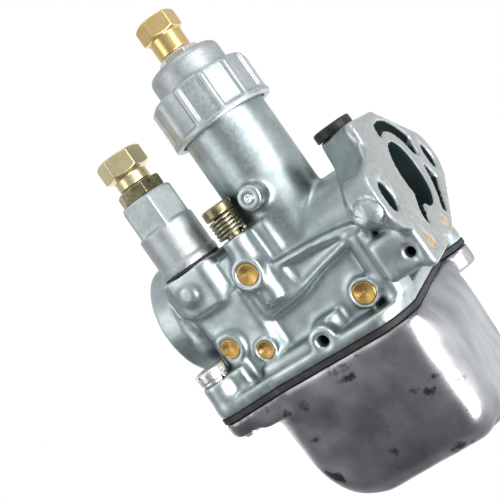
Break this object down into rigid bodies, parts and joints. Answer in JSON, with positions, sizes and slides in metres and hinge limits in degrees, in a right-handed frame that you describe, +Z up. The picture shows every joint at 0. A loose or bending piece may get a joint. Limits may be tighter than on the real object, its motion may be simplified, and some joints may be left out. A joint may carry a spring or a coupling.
{
  "type": "carburetor",
  "caption": "Small slide carburetor with cable throttle, cable starter valve, two-stud engine flange and a cast float bowl.",
  "frame": {"origin": "centre of the bore on the engine flange face", "axes": "+X out of the flange towards the engine, +Z up along the slide barrel, -Y the side with the brass channel plugs"},
  "size_m": [0.0661, 0.069, 0.1184],
  "materials": {
    "cast_zinc": "satin",
    "turned_zinc": "satin",
    "gold_brass": "satin",
    "pale_brass": "satin",
    "plug_brass": "satin",
    "jet_brass": "satin",
    "zinc_plated_steel": "glossy",
    "yellow_zinc_steel": "satin",
    "spring_steel": "satin",
    "fibre_gasket": "matte",
    "rubber": "matte",
    "black_plastic": "matte",
    "float_plastic": "matte",
    "cast_aluminium": "satin"
  },
  "bodies": {
    "body": {"carb_body": "cast_zinc", "cap_dome": "turned_zinc", "cap_gasket": "fibre_gasket", "throttle_spring": "spring_steel", "slide_guide_pin": "plug_brass", "starter_housing": "turned_zinc", "starter_washer": "fibre_gasket", "starter_spring": "spring_steel", "idle_air_spring": "spring_steel", "mixture_screw_cap": "black_plastic", "flange_plugs": "plug_brass", "bowl_screws": "zinc_plated_steel", "bowl_screw_washers": "zinc_plated_steel", "fuel_inlet_nipple": "jet_brass", "channel_plug_a": "plug_brass", "channel_plug_b": "plug_brass", "channel_plug_c": "plug_brass", "channel_plug_d": "plug_brass", "bowl_gasket": "fibre_gasket", "float_bowl": "cast_aluminium", "needle_jet": "jet_brass", "main_jet": "jet_brass", "idle_jet": "jet_brass", "starter_jet": "jet_brass", "needle_seat": "jet_brass", "float_pin": "zinc_plated_steel"},
    "slide": {"throttle_slide": "cast_zinc", "spring_seat": "zinc_plated_steel", "jet_needle": "jet_brass", "needle_clip": "zinc_plated_steel"},
    "starter_valve": {"starter_plunger": "jet_brass", "starter_plunger_seal": "rubber"},
    "float": {"bowl_float": "float_plastic"},
    "float_valve": {"float_needle": "rubber"},
    "cap_nut": {"ring_nut": "turned_zinc"},
    "throttle_adjuster": {"throttle_cable_adjuster": "gold_brass"},
    "throttle_locknut": {"throttle_adjuster_locknut": "zinc_plated_steel"},
    "starter_adjuster": {"starter_cable_adjuster": "pale_brass"},
    "starter_locknut": {"starter_adjuster_locknut": "yellow_zinc_steel"},
    "idle_screw": {"idle_air_screw": "yellow_zinc_steel"},
    "mixture_valve": {"mixture_screw": "jet_brass"}
  },
  "joints": [
    {"name": "throttle_lift", "type": "slide", "parent": "body", "child": "slide", "axis": [0, 0, 1], "range_m": [0, 0.016], "stiffness_N_per_m": 200, "springref_m": -0.02, "deforming": ["throttle_spring"]},
    {"name": "starter_lift", "type": "slide", "parent": "body", "child": "starter_valve", "axis": [0, 0, 1], "range_m": [0, 0.007], "stiffness_N_per_m": 150, "springref_m": -0.008, "deforming": ["starter_spring"]},
    {"name": "float_swing", "type": "hinge", "parent": "body", "child": "float", "pos_m": [-0.0484, 0.0045, -0.0275], "axis": [0, -1, 0], "range_deg": [0, 14]},
    {"name": "float_valve_lift", "type": "slide", "parent": "body", "child": "float_valve", "axis": [0, 0, 1], "range_m": [0, 0.00175]},
    {"name": "cap_nut_turn", "type": "hinge", "parent": "body", "child": "cap_nut", "pos_m": [-0.0289, 0, 0.04], "axis": [0, 0, 1], "continuous": true},
    {"name": "throttle_adjuster_turn", "type": "hinge", "parent": "body", "child": "throttle_adjuster", "pos_m": [-0.0289, 0, 0.058], "axis": [0, 0, 1], "continuous": true},
    {"name": "throttle_locknut_turn", "type": "hinge", "parent": "body", "child": "throttle_locknut", "pos_m": [-0.0289, 0, 0.052], "axis": [0, 0, 1], "continuous": true},
    {"name": "starter_adjuster_turn", "type": "hinge", "parent": "body", "child": "starter_adjuster", "pos_m": [-0.0521, -0.009, 0.04], "axis": [0, 0, 1], "continuous": true},
    {"name": "starter_locknut_turn", "type": "hinge", "parent": "body", "child": "starter_locknut", "pos_m": [-0.0521, -0.009, 0.033], "axis": [0, 0, 1], "continuous": true},
    {"name": "idle_screw_turn", "type": "hinge", "parent": "body", "child": "idle_screw", "pos_m": [-0.0372, -0.0121, 0.018], "axis": [0, 0, 1], "continuous": true},
    {"name": "mixture_screw_turn", "type": "hinge", "parent": "body", "child": "mixture_valve", "pos_m": [-0.0065, -0.0076, 0.012], "axis": [0, 0, 1], "continuous": true}
  ],
  "couplings": [
    {"joint": "float_valve_lift", "follows": "float_swing", "m_per_rad": 0.007}
  ]
}
